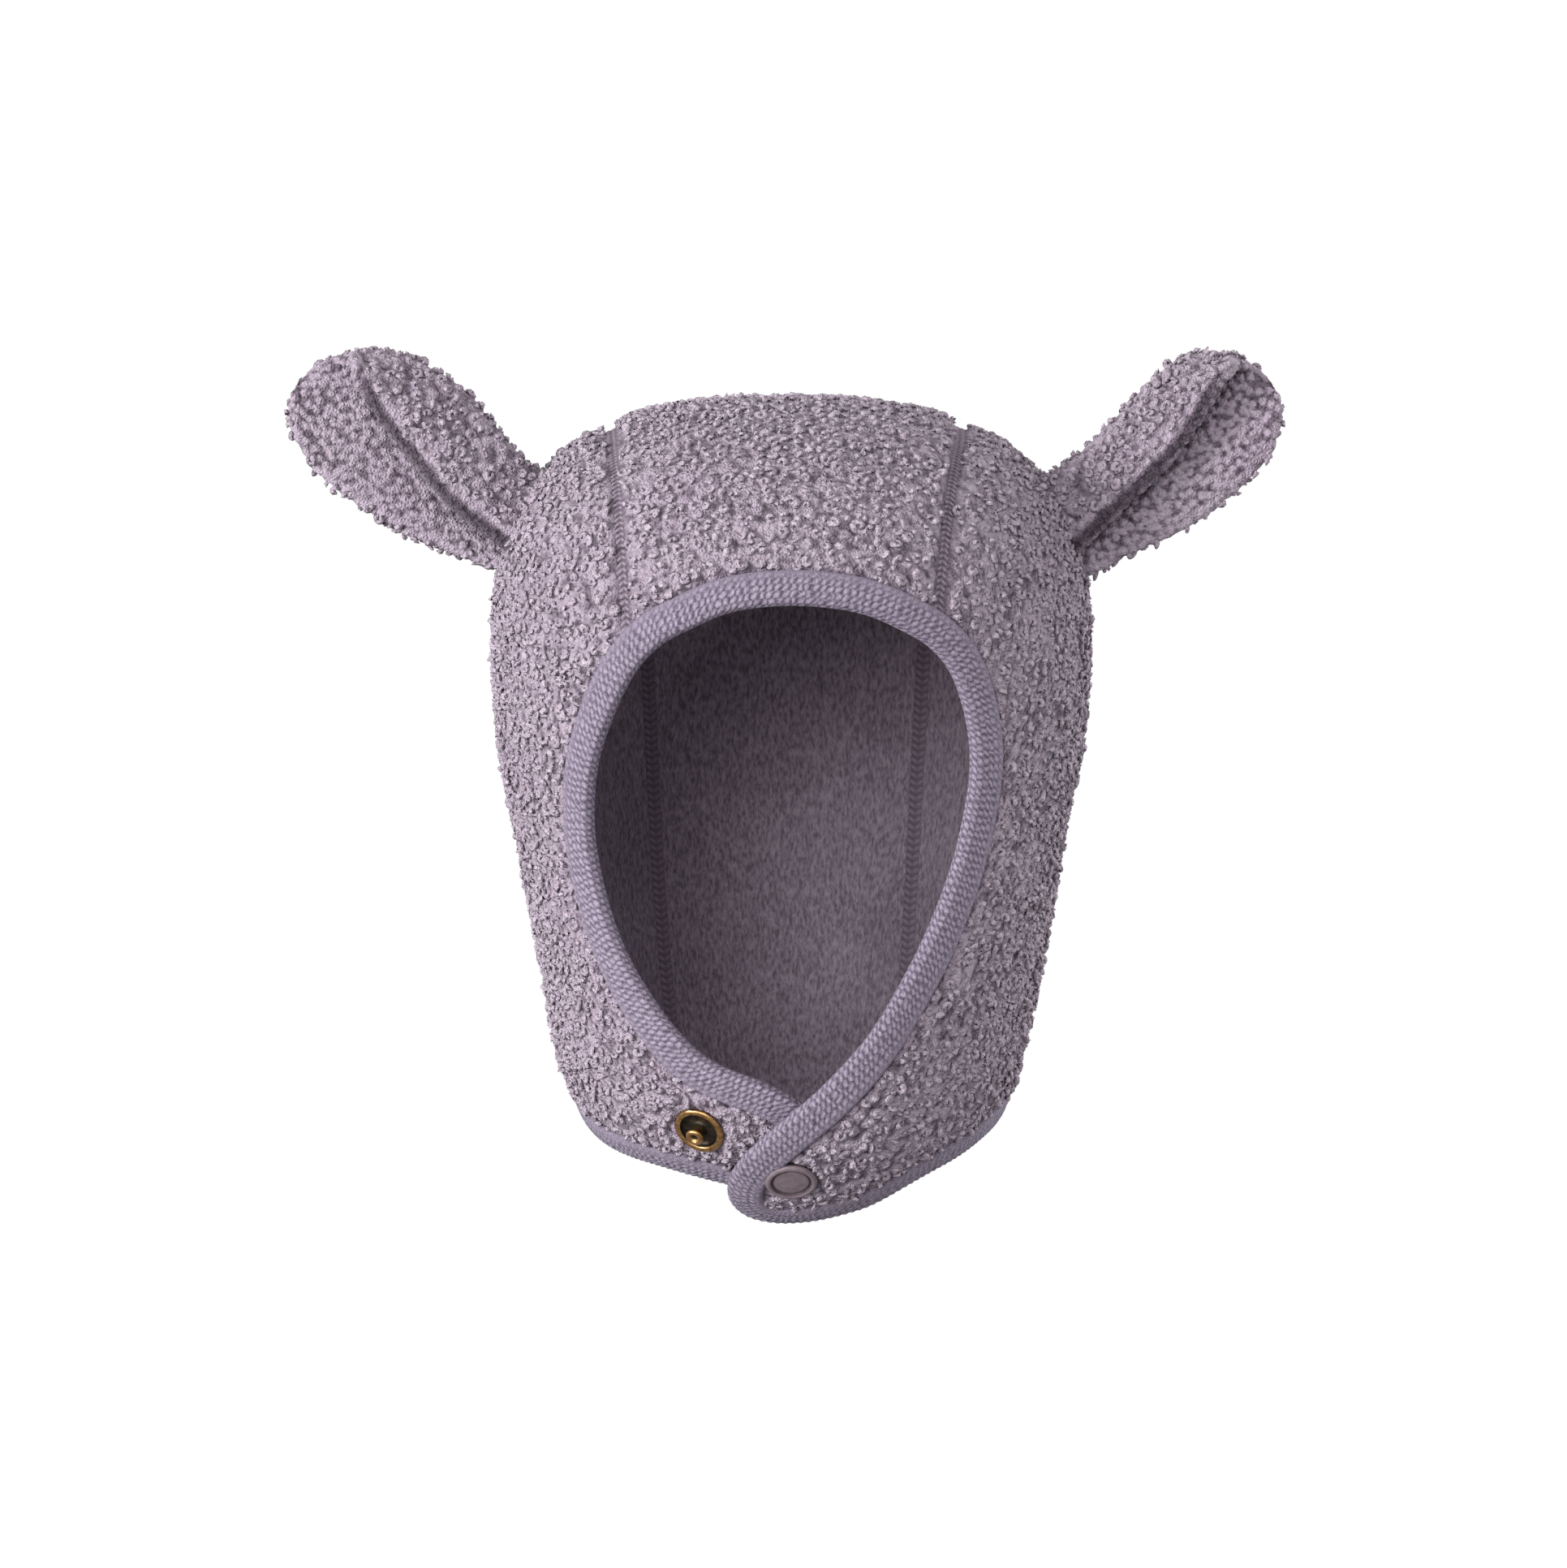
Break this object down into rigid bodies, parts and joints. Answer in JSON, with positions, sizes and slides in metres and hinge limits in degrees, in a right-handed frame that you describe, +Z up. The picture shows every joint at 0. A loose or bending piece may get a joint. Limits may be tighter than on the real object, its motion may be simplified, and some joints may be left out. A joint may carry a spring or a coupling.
{
  "type": "bonnet_with_ears",
  "caption": "Soft pile-fleece baby bonnet in heather lilac with two folded ears, a knitted binding round face and neck, and a snapped chin overlap.",
  "frame": {"origin": "the inside top of the crown, where the head meets it", "axes": "+Z up, the face opening towards -Y, +X to the right as seen from the front"},
  "size_m": [0.241, 0.1563, 0.2094],
  "materials": {
    "fleece": "curly wool pile, heather lilac grey",
    "knit": "ribbed knit, lilac",
    "brass": "antiqued, worn bright at the rim",
    "resin": "smooth, toned to the cloth"
  },
  "bodies": {
    "root": {"centre_panel": "fleece", "side_panel_left": "fleece", "side_panel_right": "fleece", "binding": "knit", "ear_left": "fleece", "ear_right": "fleece", "snap_stud_open": "brass", "snap_cap": "resin", "snap_stud_closed": "brass"}
  },
  "joints": []
}
